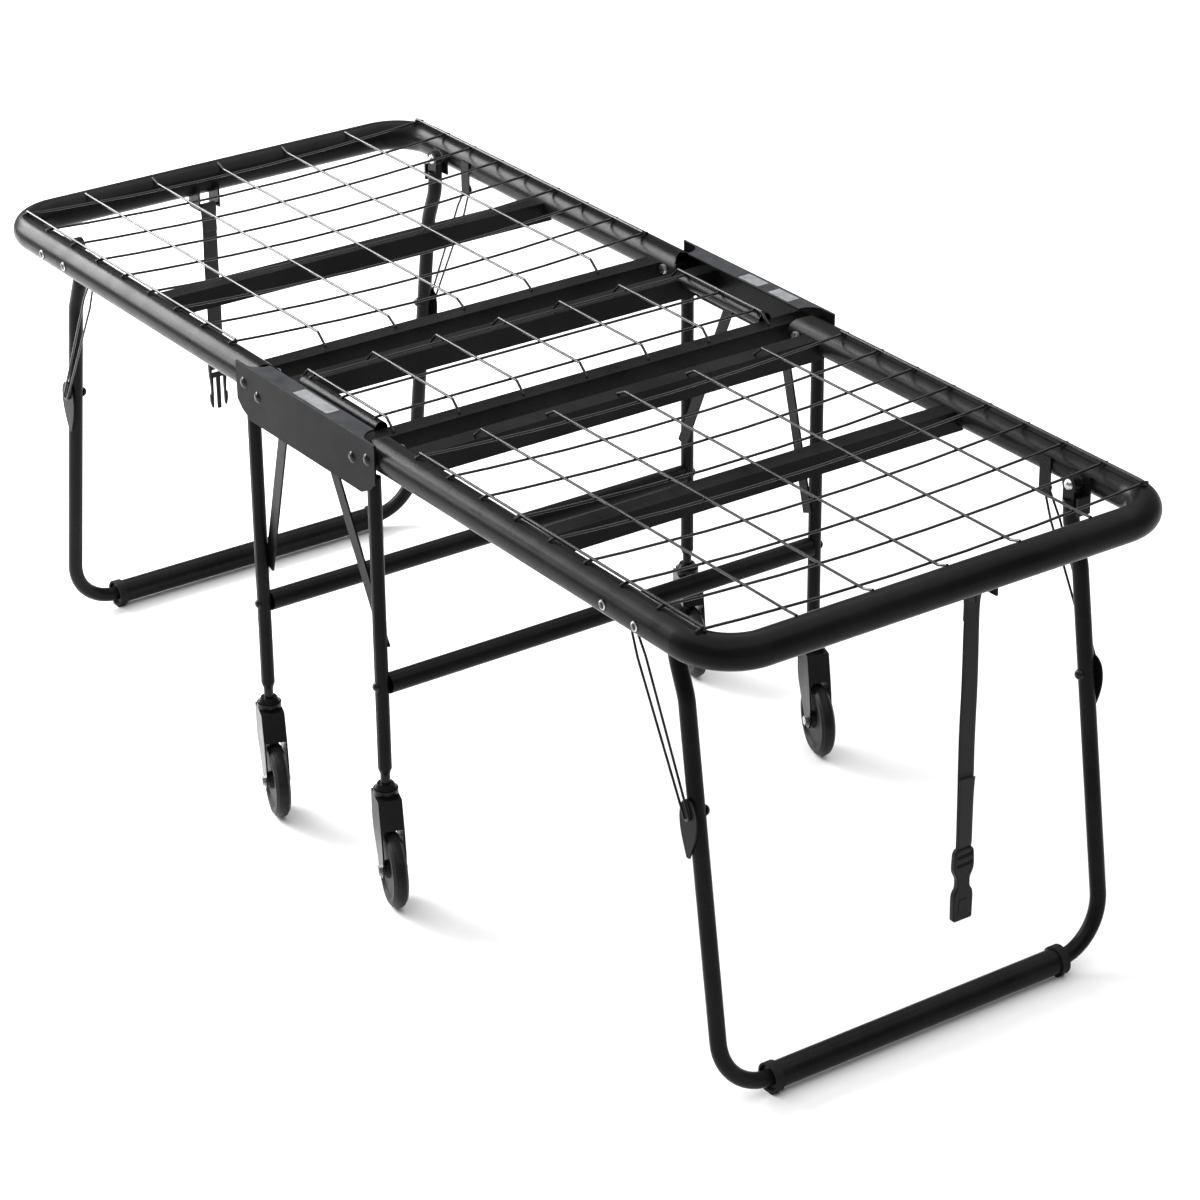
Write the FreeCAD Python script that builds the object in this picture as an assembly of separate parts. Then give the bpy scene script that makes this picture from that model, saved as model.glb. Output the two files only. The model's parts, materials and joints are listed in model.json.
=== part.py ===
"""Folding guest-bed frame: three wire-mesh deck sections on two caster frames and two end legs.

Millimetres. X runs along the bed, from the head end (-X) to the foot end (+X), Y across it,
Z up. The origin is on the floor, under the middle of the deck.
"""
import FreeCAD, Part
import math
import os

Vec = FreeCAD.Vector
SIDES = {"near": -1, "far": 1}
ENDS = {"head": -1, "foot": 1}

# ---- driving dimensions -------------------------------------------------------------------
TUBE_R = 24.0                # deck tube
TUBE_WALL = 1.2
DECK_Z = 686.0               # axis of the deck tubes and of the fold hinges
SIDE_Y = 366.0               # axis of the deck side tubes
END_X = 923.0                # axis of the deck end tubes
CORNER_R = 70.0              # bend radius of the deck corners
HINGE_X = 164.0              # fold hinge
HINGE_PIN_R = 4.0
RUN_GAP = 0.05               # radial clearance of a pin that turns in its hole

BAR_W, BAR_H, BAR_WALL = 30.0, 32.0, 1.2       # rectangular crossbars
BAR_TOP = 692.0
INNER_BAR_X = 192.0
MID_BAR_X = 505.0
CENTRE_BAR_X = 115.0

PLATE_Y0, PLATE_T = 392.0, 3.0                 # side channel, inner face and thickness
PLATE_HALF, PLATE_LOW, PLATE_TOP = 184.0, 632.0, 714.0
PLATE_STEP = 12.0
FLANGE_Y = 365.0
CHANNEL_RIVET_X, CHANNEL_RIVET_Z, CHANNEL_RIVET_R = 126.0, 676.0, 4.0
CENTRE_TUBE_R, CENTRE_TUBE_Y, CENTRE_TUBE_Z = 11.0, 331.0, 692.0

WIRE_R = 2.0                 # deck mesh wire
MESH_PITCH = 79.25
MESH_FIRST_X = 247.0
MESH_ROWS = 9
MESH_Z, MESH_SAG = 713.0, 14.0                 # cross wires at the sides, and their dip
MESH_HALF = 365.0            # half length of the cross wires between their turned-down tips
MESH_LONG_Y = (-359.0, -240.0, -120.0, 0.0, 120.0, 240.0, 359.0)
MESH_LIFT = 3.6              # long wires lie this far above the cross wires
CENTRE_MESH_X = (-86.0, 0.0, 86.0)
CENTRE_MESH_Z = 705.0
CENTRE_MESH_HALF = 329.0
CENTRE_LONG_Y = tuple(323.0 * k / 3.0 for k in range(-3, 4))

POST_X, POST_Y, POST_R = 161.0, 382.3, 10.0    # caster posts
POST_TOP, POST_LOW = 656.0, 196.0
CROSS_Z, CROSS_R = 336.0, 15.0                 # cross tubes between the posts
BRACE_TOP_X, BRACE_W, BRACE_T = 64.0, 20.0, 3.0
BRACE_Z0, BRACE_Z1 = 646.0, 392.0

CASTER_YAW = -19.0           # all four casters trail this way at rest
TRAIL = 30.0
WHEEL_R, WHEEL_W = 57.5, 22.0
FORK_IN, FORK_T, FORK_TOP, FORK_PLATE_T = 15.0, 2.5, 164.0, 3.0
HOOD_BACK, HOOD_FRONT, APRON_LOW = -20.0, 25.0, 121.0
AXLE_R, KING_R = 4.0, 5.0

LEG_R, LEG_WALL, LEG_Y = 11.5, 1.5, 327.0      # end legs
LEG_PIVOT = (781.0, 684.0)
LEG_PATH = ((781.5, 662.0), (783.0, 628.0), (805.0, 575.0), (886.0, 22.0))
LUG_R, LUG_HALF, LUG_DROP = 13.0, 6.0, 34.0    # flattened leg top about its pivot
LEG_BEND_R, LEG_CORNER_R = 70.0, 78.0
SLEEVE_R = 18.5
FOOT_Y, FOOT_R, FOOT_W = 247.0, 21.5, 13.0
PIVOT_R = 4.0

STAY_X, STAY_Z = 712.0, 648.0                  # top pivot of the wire stays
STAY_Y, STAY_WIRE_R, STAY_PIN_R = 344.2, 1.75, 2.9
STAY_EYE_R, STAY_WIDE, STAY_WIDE_AT, STAY_NARROW = 4.9, 10.0, 45.0, 5.5
LATCH_Z, LATCH_Y, LATCH_T = 420.0, 339.2, 2.4
LATCH_UP, LATCH_DOWN, LATCH_HALF = 24.0, 62.0, 18.0
LATCH_PIN_R = 3.0

STRAP_W, STRAP_T = 25.0, 3.0
STRAP_BAR_X, STRAP_BAR_Z, STRAP_BAR_R = 894.0, 650.0, 2.5
STRAP_Y = {"head": -34.0, "foot": 62.0}
STRAP_LOW = {"head": 388.0, "foot": 268.0}
BUCKLE_LOW = {"head": 296.0, "foot": 158.0}
BUCKLE_T = 11.0


# ---- helpers ------------------------------------------------------------------------------
def export(name, shape):
    """Write one sub-part as a STEP file."""
    shape.exportStep(os.path.join("parts", name + ".step"))


def unit(vector):
    result = Vec(vector)
    result.normalize()
    return result


def box(x0, x1, y0, y1, z0, z1):
    """Axis-aligned block between two corners given in any order."""
    low = Vec(min(x0, x1), min(y0, y1), min(z0, z1))
    return Part.makeBox(abs(x1 - x0), abs(y1 - y0), abs(z1 - z0), low)


def rod(start, end, radius):
    """Round bar between two points."""
    run = end - start
    return Part.makeCylinder(radius, run.Length, start, run)


def hollow_rod(start, end, radius, wall):
    return rod(start, end, radius).cut(rod(start, end, radius - wall))


def fuse(shapes):
    """One solid from shapes that meet."""
    shapes = list(shapes)
    joined = shapes[0].fuse(shapes[1:]) if len(shapes) > 1 else shapes[0]
    return joined.removeSplitter()


def weld(shapes):
    """One solid from crossing wires, joined one after another."""
    shapes = list(shapes)
    joined = shapes[0]
    for shape in shapes[1:]:
        joined = joined.fuse(shape)
    return joined


def at_foot(shape):
    """The same shape at the foot end."""
    return shape.mirror(Vec(0, 0, 0), Vec(1, 0, 0))


def rounded_wire(points, radii):
    """Straight runs joined by tangent arcs: one radius for each inner point."""
    edges = []
    start = points[0]
    for before, corner, after, radius in zip(points, points[1:], points[2:], radii):
        back = unit(before - corner)
        ahead = unit(after - corner)
        half = back.getAngle(ahead) / 2.0
        reach = radius / math.tan(half)
        first = corner + back * reach
        last = corner + ahead * reach
        centre = corner + unit(back + ahead) * (radius / math.sin(half))
        middle = centre + unit(corner - centre) * radius
        edges.append(Part.LineSegment(start, first).toShape())
        edges.append(Part.Arc(first, middle, last).toShape())
        start = last
    edges.append(Part.LineSegment(start, points[-1]).toShape())
    return Part.Wire(edges)


def sweep(path, radius):
    """Solid round bar along a wire of runs and tangent arcs."""
    first = path.Edges[0]
    start = first.valueAt(first.FirstParameter)
    ring = Part.Wire(Part.makeCircle(radius, start, first.tangentAt(first.FirstParameter)))
    return path.makePipeShell([ring], True, False)


def hollow_sweep(path, radius, wall):
    return sweep(path, radius).cut(sweep(path, radius - wall))


def flat_plate(outline, y0, thickness):
    """Plate of constant thickness along Y from (x, z) points, in order."""
    points = [Vec(x, y0, z) for x, z in outline]
    face = Part.Face(Part.makePolygon(points + points[:1]))
    return face.extrude(Vec(0, thickness, 0))


def side_span(side, inner, outer):
    """Low and high Y of something between two distances from the middle, on one side."""
    return sorted((side * inner, side * outer))


def y_pin(x, z, side, inner, outer, radius):
    """Round pin along Y on one side of the bed."""
    return rod(Vec(x, side * inner, z), Vec(x, side * outer, z), radius)


def dome(x, z, side, base, height, radius):
    """Domed bolt head that stands outwards from |y| = base, or inwards for a negative height."""
    ball_r = (radius ** 2 + height ** 2) / (2.0 * abs(height))
    way = side * math.copysign(1.0, height)
    centre = Vec(x, side * base - way * (ball_r - abs(height)), z)
    ball = Part.makeSphere(ball_r, centre)
    disc = rod(Vec(x, side * base, z), Vec(x, side * (base + 2.0 * height), z), radius)
    return ball.common(disc)


def hexagon_nut(x, z, side, base, height, across):
    """Six-sided nut along Y."""
    corner = across / math.sqrt(3.0)
    angles = [math.radians(60.0 * k) for k in range(6)]
    outline = [(x + corner * math.cos(a), z + corner * math.sin(a)) for a in angles]
    return flat_plate(outline, side * base, side * height)


# ---- deck sections ------------------------------------------------------------------------
def deck_frame(end):
    """U-shaped tube of one folding section, with round ends about its hinge pins."""
    corners = [Vec(end * HINGE_X, -SIDE_Y, DECK_Z), Vec(end * END_X, -SIDE_Y, DECK_Z),
               Vec(end * END_X, SIDE_Y, DECK_Z), Vec(end * HINGE_X, SIDE_Y, DECK_Z)]
    tube = hollow_sweep(rounded_wire(corners, (CORNER_R, CORNER_R)), TUBE_R, TUBE_WALL)
    pieces = [tube]
    for side in SIDES.values():
        stub = hollow_rod(Vec(end * HINGE_X, side * SIDE_Y, DECK_Z),
                          Vec(end * (HINGE_X - TUBE_R), side * SIDE_Y, DECK_Z), TUBE_R, TUBE_WALL)
        knuckle = y_pin(end * HINGE_X, DECK_Z, side, SIDE_Y - TUBE_R, SIDE_Y + TUBE_R, TUBE_R)
        pieces.append(stub.common(knuckle))
    frame = fuse(pieces)
    for side in SIDES.values():
        frame = frame.cut(y_pin(end * HINGE_X, DECK_Z, side, SIDE_Y - 2 * TUBE_R,
                                SIDE_Y + 2 * TUBE_R, HINGE_PIN_R + RUN_GAP))
        frame = frame.cut(y_pin(end * LEG_PIVOT[0], LEG_PIVOT[1], side,
                                SIDE_Y - 2 * TUBE_R, SIDE_Y + 2 * TUBE_R, PIVOT_R))
    return frame


def crossbar(x, half_length):
    """Rectangular tube across the bed."""
    outer = box(x - BAR_W / 2, x + BAR_W / 2, -half_length, half_length, BAR_TOP - BAR_H, BAR_TOP)
    inner = box(x - BAR_W / 2 + BAR_WALL, x + BAR_W / 2 - BAR_WALL, -half_length, half_length,
                BAR_TOP - BAR_H + BAR_WALL, BAR_TOP - BAR_WALL)
    return outer.cut(inner)


def section_crossbar(x):
    """Crossbar of a folding section, its ends coped to sit against the round side tubes."""
    bar = crossbar(x, SIDE_Y)
    for side in SIDES.values():
        cutter = rod(Vec(x - BAR_W, side * SIDE_Y, DECK_Z), Vec(x + BAR_W, side * SIDE_Y, DECK_Z),
                     TUBE_R)
        outside = box(x - BAR_W, x + BAR_W, side * SIDE_Y, side * (SIDE_Y - 8.0),
                      BAR_TOP - 2 * BAR_H, BAR_TOP + BAR_H)
        bar = bar.cut(cutter).cut(outside)
    return max(bar.Solids, key=lambda solid: solid.Volume)


def bent_wire(points, radius=WIRE_R):
    """Wire through points, with a ball at each bend."""
    pieces = [rod(a, b, radius) for a, b in zip(points, points[1:])]
    pieces += [Part.makeSphere(radius, point) for point in points[1:-1]]
    return fuse(pieces)


def cross_wire(x, half, z, sag, pitch, tip_z):
    """Wire across a mesh panel: it dips in the middle and its tips turn down to the tubes."""
    bends = [-half] + [pitch * (k + 0.5) for k in range(-3, 3)] + [half]
    points = [Vec(x, y, z - dip(y, half, sag)) for y in bends]
    tips = [Vec(x, way * (half + 4.5), tip_z) for way in (-1, 1)]
    return bent_wire(tips[:1] + points + tips[1:])


def dip(y, half, sag):
    """How far an arc of this span and sag lies below its ends at y."""
    arc_r = (half ** 2 + sag ** 2) / (2.0 * sag)
    return sag - (arc_r - math.sqrt(arc_r ** 2 - y ** 2))


def section_mesh(end):
    """Welded wire panel of a folding section."""
    half = MESH_HALF
    last_x = MESH_FIRST_X + (MESH_ROWS - 1) * MESH_PITCH
    tube_top = DECK_Z + TUBE_R + WIRE_R * 0.6
    wires = [cross_wire(end * (MESH_FIRST_X + k * MESH_PITCH), half, MESH_Z, MESH_SAG,
                        MESH_LONG_Y[-2] / 2.0, tube_top) for k in range(MESH_ROWS)]
    for y in MESH_LONG_Y:
        z = MESH_Z - dip(y, half, MESH_SAG) + MESH_LIFT
        if abs(y) == MESH_LONG_Y[-1]:
            tips = ((MESH_FIRST_X - 5.0, tube_top), (MESH_FIRST_X - 2.0, z),
                    (last_x + 2.0, z), (last_x + 6.0, tube_top))
        else:
            tips = ((INNER_BAR_X + 3.0, BAR_TOP + WIRE_R * 0.7), (INNER_BAR_X + 22.0, z),
                    (END_X - 26.0, z), (END_X - 8.0, DECK_Z + TUBE_R - 0.5))
        wires.append(bent_wire([Vec(end * x, y, height) for x, height in tips]))
    return weld(wires)


def centre_mesh():
    """Welded wire panel of the fixed centre section, with straight wires."""
    half = CENTRE_MESH_HALF
    tip_z = CENTRE_TUBE_Z + CENTRE_TUBE_R + 0.2
    rest = BAR_TOP + WIRE_R * 0.7
    top = CENTRE_MESH_Z + MESH_LIFT
    wires = []
    for x in CENTRE_MESH_X:
        wires.append(bent_wire([Vec(x, -half - 4.5, tip_z), Vec(x, -half, CENTRE_MESH_Z),
                                Vec(x, half, CENTRE_MESH_Z), Vec(x, half + 4.5, tip_z)]))
    for y in CENTRE_LONG_Y:
        tips = ((-CENTRE_BAR_X - 5.0, rest), (-CENTRE_BAR_X + 12.0, top),
                (CENTRE_BAR_X - 12.0, top), (CENTRE_BAR_X + 5.0, rest))
        wires.append(bent_wire([Vec(x, y, height) for x, height in tips]))
    return weld(wires)


def pivot_brackets(end):
    """Plates on the inner faces of the side tubes that carry the leg and the stay pivots."""
    face = SIDE_Y - TUBE_R
    leg_x, leg_z = LEG_PIVOT
    plates = []
    for side in SIDES.values():
        leg_plate = box(end * (leg_x - 16.0), end * (leg_x + 22.0), side * face,
                        side * (face - 3.0), leg_z - 26.0, leg_z + 12.0)
        stop = box(end * (leg_x + 18.0), end * (leg_x + 22.0), side * face, side * (face - 22.0),
                   leg_z - 40.0, leg_z - 14.0)
        leg_plate = leg_plate.fuse(stop)
        leg_plate = leg_plate.cut(y_pin(end * leg_x, leg_z, side, face - 10, face + 10, PIVOT_R))
        stay_plate = box(end * (STAY_X - 11.0), end * (STAY_X + 11.0), side * face,
                         side * (face - 2.4), STAY_Z - 11.0, DECK_Z + 10.0)
        pin = y_pin(end * STAY_X, STAY_Z, side, face - 0.2, face + 6.0, STAY_PIN_R)
        cap = y_pin(end * STAY_X, STAY_Z, side, face + 4.6, face + 6.6, 6.5)
        plates += [leg_plate, fuse([stay_plate, pin, cap])]
    return Part.makeCompound(plates)


def pivot_bolts(end):
    """Leg pivot bolts: a ring head outside the side tube and a nut inside the leg."""
    leg_x, leg_z = LEG_PIVOT
    bolts = []
    for side in SIDES.values():
        inner = LEG_Y - LUG_HALF - 0.4
        outer = SIDE_Y + TUBE_R
        shank = y_pin(end * leg_x, leg_z, side, inner, outer, PIVOT_R)
        spacer = y_pin(end * leg_x, leg_z, side, LEG_Y + LUG_HALF + 0.4, SIDE_Y - TUBE_R - 3.0,
                       2 * PIVOT_R)
        head = dome(end * leg_x, leg_z, side, outer, 2.5, 8.0)
        nut = dome(end * leg_x, leg_z, side, inner, -5.0, 8.0)
        bolts.append(fuse([shank, spacer, head, nut]))
        stud = dome(end * STAY_X, DECK_Z, side, outer, 2.5, 8.0)
        bolts.append(stud)
    return Part.makeCompound(bolts)


def strap_bracket(end, name):
    """Loop under the inner side of the end tube that the closing strap hangs from."""
    y0 = STRAP_Y[name]
    half = STRAP_W / 2 + 4.0
    bar = rod(Vec(end * STRAP_BAR_X, y0 - half, STRAP_BAR_Z),
              Vec(end * STRAP_BAR_X, y0 + half, STRAP_BAR_Z), STRAP_BAR_R)
    pieces = [bar]
    for way in (-1, 1):
        ear = box(end * (STRAP_BAR_X - 5.0), end * (END_X - 2.0), y0 + way * half,
                  y0 + way * (half + 3.0), STRAP_BAR_Z - 5.0, DECK_Z - 2.0)
        pieces.append(ear)
    loop = fuse(pieces)
    tube = rod(Vec(end * END_X, -SIDE_Y, DECK_Z), Vec(end * END_X, SIDE_Y, DECK_Z), TUBE_R)
    loop = loop.cut(tube)
    return max(loop.Solids, key=lambda solid: solid.Volume)


# ---- centre section -----------------------------------------------------------------------
def side_channel(side):
    """Outer plate with stepped lower corners and an inward top flange between the hinges."""
    outline = [(-PLATE_HALF, PLATE_TOP), (-PLATE_HALF, PLATE_LOW + 2 * PLATE_STEP),
               (-PLATE_HALF + PLATE_STEP, PLATE_LOW + PLATE_STEP),
               (-PLATE_HALF + 3 * PLATE_STEP, PLATE_LOW),
               (PLATE_HALF - 3 * PLATE_STEP, PLATE_LOW),
               (PLATE_HALF - PLATE_STEP, PLATE_LOW + PLATE_STEP),
               (PLATE_HALF, PLATE_LOW + 2 * PLATE_STEP), (PLATE_HALF, PLATE_TOP)]
    plate = flat_plate(outline, side * PLATE_Y0, side * PLATE_T)
    flange = box(-PLATE_HALF, PLATE_HALF, side * FLANGE_Y, side * (PLATE_Y0 + PLATE_T),
                 PLATE_TOP - PLATE_T, PLATE_TOP)
    notch_r = TUBE_R + 3.0
    for end in ENDS.values():
        notch = box(end * HINGE_X, end * (PLATE_HALF + 1.0), side * (FLANGE_Y - 1.0),
                    side * (SIDE_Y + notch_r), PLATE_TOP - 2 * PLATE_T, PLATE_TOP + 1.0)
        round_end = Part.makeCylinder(notch_r, 3 * PLATE_T, Vec(end * HINGE_X, side * SIDE_Y,
                                                                PLATE_TOP - 2 * PLATE_T))
        flange = flange.cut(notch).cut(round_end)
    channel = fuse([plate, flange])
    for end in ENDS.values():
        channel = channel.cut(y_pin(end * HINGE_X, DECK_Z, side, PLATE_Y0 - 5,
                                    PLATE_Y0 + PLATE_T + 5, HINGE_PIN_R))
        channel = channel.cut(y_pin(end * CHANNEL_RIVET_X, CHANNEL_RIVET_Z, side, PLATE_Y0 - 1,
                                    PLATE_Y0 + PLATE_T + 1, CHANNEL_RIVET_R))
    return channel


def centre_side_tubes():
    """Short round tubes that close the centre section along its sides."""
    reach = CENTRE_BAR_X - BAR_W / 2
    tubes = [hollow_rod(Vec(-reach, side * CENTRE_TUBE_Y, CENTRE_TUBE_Z),
                        Vec(reach, side * CENTRE_TUBE_Y, CENTRE_TUBE_Z),
                        CENTRE_TUBE_R, TUBE_WALL) for side in SIDES.values()]
    return Part.makeCompound(tubes)


def hinge_bolts():
    """Fold hinge bolts with their spacers and nuts."""
    bolts = []
    for end in ENDS.values():
        for side in SIDES.values():
            x = end * HINGE_X
            inner = SIDE_Y - TUBE_R - 0.5
            outer = PLATE_Y0 + PLATE_T
            shank = y_pin(x, DECK_Z, side, inner, outer, HINGE_PIN_R)
            spacer = y_pin(x, DECK_Z, side, SIDE_Y + TUBE_R + 0.5, PLATE_Y0, 10.0)
            head = dome(x, DECK_Z, side, outer, 3.5, 8.5)
            nut = hexagon_nut(x, DECK_Z, side, inner - 6.0, 6.0, 13.0)
            bolts.append(fuse([shank, spacer, head, nut]))
    return Part.makeCompound(bolts)


# ---- caster frames ------------------------------------------------------------------------
def brace(end, side):
    """Flat bar from the channel plate down to the post, crossing inwards behind it."""
    top = Vec(end * BRACE_TOP_X, side * (PLATE_Y0 - BRACE_T / 2), BRACE_Z0)
    low = Vec(end * (POST_X - 3.0), side * (POST_Y - POST_R - BRACE_T / 2), BRACE_Z1)
    run = low - top
    across = unit(run.cross(Vec(0, 1, 0))) * (BRACE_W / 2)
    ends = []
    for point in (top, low):
        corners = [point - across - Vec(0, BRACE_T / 2, 0), point + across - Vec(0, BRACE_T / 2, 0),
                   point + across + Vec(0, BRACE_T / 2, 0), point - across + Vec(0, BRACE_T / 2, 0)]
        ends.append(Part.makePolygon(corners + corners[:1]))
    bar = Part.makeLoft(ends, True, True)
    column = Vec(end * POST_X, side * POST_Y, POST_LOW)
    bar = bar.cut(rod(column, column + Vec(0, 0, POST_TOP - POST_LOW), POST_R))
    return max(bar.Solids, key=lambda solid: solid.Volume)


def braces(side):
    return Part.makeCompound([brace(end, side) for end in ENDS.values()])


def post(end, side):
    """Caster post: round tube with a closed lower end."""
    x, y = end * POST_X, side * POST_Y
    wall = hollow_rod(Vec(x, y, POST_LOW), Vec(x, y, POST_TOP), POST_R, TUBE_WALL)
    shoulder = Part.makeCone(POST_R - 3.0, POST_R, 9.0, Vec(x, y, POST_LOW), Vec(0, 0, 1))
    plug = wall.fuse(rod(Vec(x, y, POST_LOW + 9.0), Vec(x, y, POST_LOW + 18.0), POST_R))
    trim = rod(Vec(x, y, POST_LOW), Vec(x, y, POST_LOW + 9.0), POST_R)
    column = fuse([plug.cut(trim), shoulder])
    plate_face = box(x - 2 * POST_R, x + 2 * POST_R, side * (PLATE_Y0), side * (PLATE_Y0 + 20.0),
                     POST_LOW, POST_TOP)
    return column.cut(plate_face)


def cross_tube(end):
    """Tube between two posts, coped against them."""
    x = end * POST_X
    tube = hollow_rod(Vec(x, -POST_Y, CROSS_Z), Vec(x, POST_Y, CROSS_Z), CROSS_R, TUBE_WALL)
    for side in SIDES.values():
        tube = tube.cut(rod(Vec(x, side * POST_Y, CROSS_Z - 30), Vec(x, side * POST_Y, CROSS_Z + 30),
                            POST_R))
    middle = box(x - 50, x + 50, -(POST_Y - POST_R), POST_Y - POST_R, CROSS_Z - 30, CROSS_Z + 30)
    tube = tube.common(middle)
    return max(tube.Solids, key=lambda solid: solid.Volume)


def frame_rivets():
    """Rivet heads of the caster frames and of the side channels."""
    heads = []
    for end in ENDS.values():
        for side in SIDES.values():
            post_head = dome(end * POST_X, CROSS_Z, side, POST_Y + POST_R - 0.6, 5.0, 7.5)
            cutter = rod(Vec(end * POST_X, side * POST_Y, CROSS_Z - 30),
                         Vec(end * POST_X, side * POST_Y, CROSS_Z + 30), POST_R)
            heads.append(post_head.cut(cutter))
            shank = y_pin(end * CHANNEL_RIVET_X, CHANNEL_RIVET_Z, side, PLATE_Y0,
                          PLATE_Y0 + PLATE_T, CHANNEL_RIVET_R)
            head = dome(end * CHANNEL_RIVET_X, CHANNEL_RIVET_Z, side, PLATE_Y0 + PLATE_T, 3.5, 8.5)
            heads.append(fuse([shank, head]))
    return Part.makeCompound(heads)


# ---- casters ------------------------------------------------------------------------------
def caster_stem(end, side):
    """Stem, upper ball race and king pin under one post."""
    at = Vec(end * POST_X, side * POST_Y, 0)

    def disc(radius, z0, z1):
        return rod(at + Vec(0, 0, z0), at + Vec(0, 0, z1), radius)

    race = Part.makeCone(16.0, 12.0, 7.0, at + Vec(0, 0, 174.0), Vec(0, 0, 1))
    neck = disc(POST_R - 3.0, 181.0, POST_LOW)
    pin = disc(KING_R, FORK_TOP - FORK_PLATE_T - 1.0, 174.0)
    washer = disc(8.0, FORK_TOP - FORK_PLATE_T - 4.5, FORK_TOP - FORK_PLATE_T - 0.5)
    return fuse([race, neck, pin, washer])


def placed(shape, end, side):
    """Turn a caster part about its swivel and move it under its post."""
    result = shape.copy()
    result.rotate(Vec(0, 0, 0), Vec(0, 0, 1), CASTER_YAW)
    result.translate(Vec(end * POST_X, side * POST_Y, 0))
    return result


def fork():
    """Stamped swivel fork: lower race, hood and two side plates that reach the axle."""
    race = rod(Vec(0, 0, FORK_TOP), Vec(0, 0, 173.2), 18.0)
    outer = FORK_IN + FORK_T
    low = FORK_TOP - FORK_PLATE_T
    hood = box(HOOD_BACK, HOOD_FRONT, -outer, outer, low, FORK_TOP)
    apron = [(HOOD_FRONT - 3.0, FORK_TOP), (HOOD_FRONT, FORK_TOP), (HOOD_FRONT + 11.0, APRON_LOW),
             (HOOD_FRONT + 8.0, APRON_LOW)]
    heel = [(HOOD_BACK, FORK_TOP), (HOOD_BACK + 3.0, FORK_TOP), (HOOD_BACK + 5.0, APRON_LOW),
            (HOOD_BACK + 2.0, APRON_LOW)]
    side_plate = [(HOOD_BACK, FORK_TOP), (HOOD_FRONT, FORK_TOP), (HOOD_FRONT + 11.0, APRON_LOW),
                  (TRAIL + 13.0, WHEEL_R + 24.0), (TRAIL + 12.0, WHEEL_R),
                  (TRAIL + 8.0, WHEEL_R - 10.0), (TRAIL, WHEEL_R - 13.0),
                  (TRAIL - 9.0, WHEEL_R - 10.0), (TRAIL - 15.0, WHEEL_R + 4.0),
                  (HOOD_BACK + 6.0, WHEEL_R + 50.0), (HOOD_BACK + 2.0, APRON_LOW)]
    pieces = [race, hood]
    for outline in (apron, heel):
        pieces.append(flat_plate(outline, -outer, 2 * outer))
    for side in SIDES.values():
        pieces.append(flat_plate(side_plate, side * FORK_IN, side * FORK_T))
    body = fuse(pieces)
    body = body.cut(rod(Vec(0, 0, FORK_TOP - 20.0), Vec(0, 0, 180.0), KING_R + RUN_GAP))
    return body.cut(rod(Vec(TRAIL, -30.0, WHEEL_R), Vec(TRAIL, 30.0, WHEEL_R), AXLE_R))


def wheel():
    """Moulded wheel: rounded tread, dished sides and a hub that runs on the axle."""
    half = WHEEL_W / 2
    profile = [(AXLE_R + RUN_GAP, -half - 2.0), (12.0, -half - 2.0), (14.0, -half + 3.0),
               (40.0, -half + 3.5), (44.0, -half), (50.0, -half), (WHEEL_R - 2.0, -half + 4.0),
               (WHEEL_R, -half + 9.0)]
    outline = profile + [(r, -y) for r, y in reversed(profile)]
    points = [Vec(TRAIL + r, y, WHEEL_R) for r, y in outline]
    face = Part.Face(Part.makePolygon(points + points[:1]))
    return face.revolve(Vec(TRAIL, 0, WHEEL_R), Vec(0, 1, 0), 360)


def axle():
    """Axle bolt with its head and nut outside the fork."""
    outer = FORK_IN + FORK_T
    shank = rod(Vec(TRAIL, -outer, WHEEL_R), Vec(TRAIL, outer, WHEEL_R), AXLE_R)
    return fuse([shank, dome(TRAIL, WHEEL_R, 1, outer, 4.0, 8.0),
                 hexagon_nut(TRAIL, WHEEL_R, -1, outer, 5.0, 13.0)])


# ---- end legs -----------------------------------------------------------------------------
def leg_x_at(z):
    """X of the leg's axis on its long lower run."""
    (x0, z0), (x1, z1) = LEG_PATH[2], LEG_PATH[3]
    return x0 + (x1 - x0) * (z0 - z) / (z0 - z1)


def leg_tube(end):
    """Bent U-shaped leg with a straight floor bar."""
    down = [Vec(end * x, -LEG_Y, z) for x, z in LEG_PATH]
    points = down + [Vec(point.x, -point.y, point.z) for point in reversed(down)]
    path = rounded_wire(points, (LEG_BEND_R, LEG_BEND_R, LEG_CORNER_R, LEG_CORNER_R,
                                 LEG_BEND_R, LEG_BEND_R))
    tube = hollow_sweep(path, LEG_R, LEG_WALL)
    pivot_x, pivot_z = LEG_PIVOT
    pieces = [tube]
    for side in SIDES.values():
        span = side_span(side, LEG_Y - LUG_HALF, LEG_Y + LUG_HALF)
        pieces.append(rod(Vec(end * pivot_x, span[0], pivot_z), Vec(end * pivot_x, span[1], pivot_z),
                          LUG_R))
        pieces.append(box(end * pivot_x - LUG_R + 2, end * pivot_x + LUG_R - 2, span[0], span[1],
                          pivot_z - LUG_DROP, pivot_z))
    leg = fuse(pieces)
    for side in SIDES.values():
        leg = leg.cut(y_pin(end * pivot_x, pivot_z, side, LEG_Y - 30, LEG_Y + 30,
                            PIVOT_R + RUN_GAP))
        leg = leg.cut(y_pin(end * leg_x_at(LATCH_Z), LATCH_Z, side, LEG_Y - 30, LEG_Y + 30,
                            LATCH_PIN_R))
    return leg


def leg_sleeve(end):
    """Sleeve over the floor bar, between and just past the feet."""
    x, z = LEG_PATH[-1]
    straight = LEG_Y - LEG_CORNER_R
    ring = hollow_rod(Vec(end * x, -straight, z), Vec(end * x, straight, z), SLEEVE_R,
                      SLEEVE_R - LEG_R)
    return ring


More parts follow.
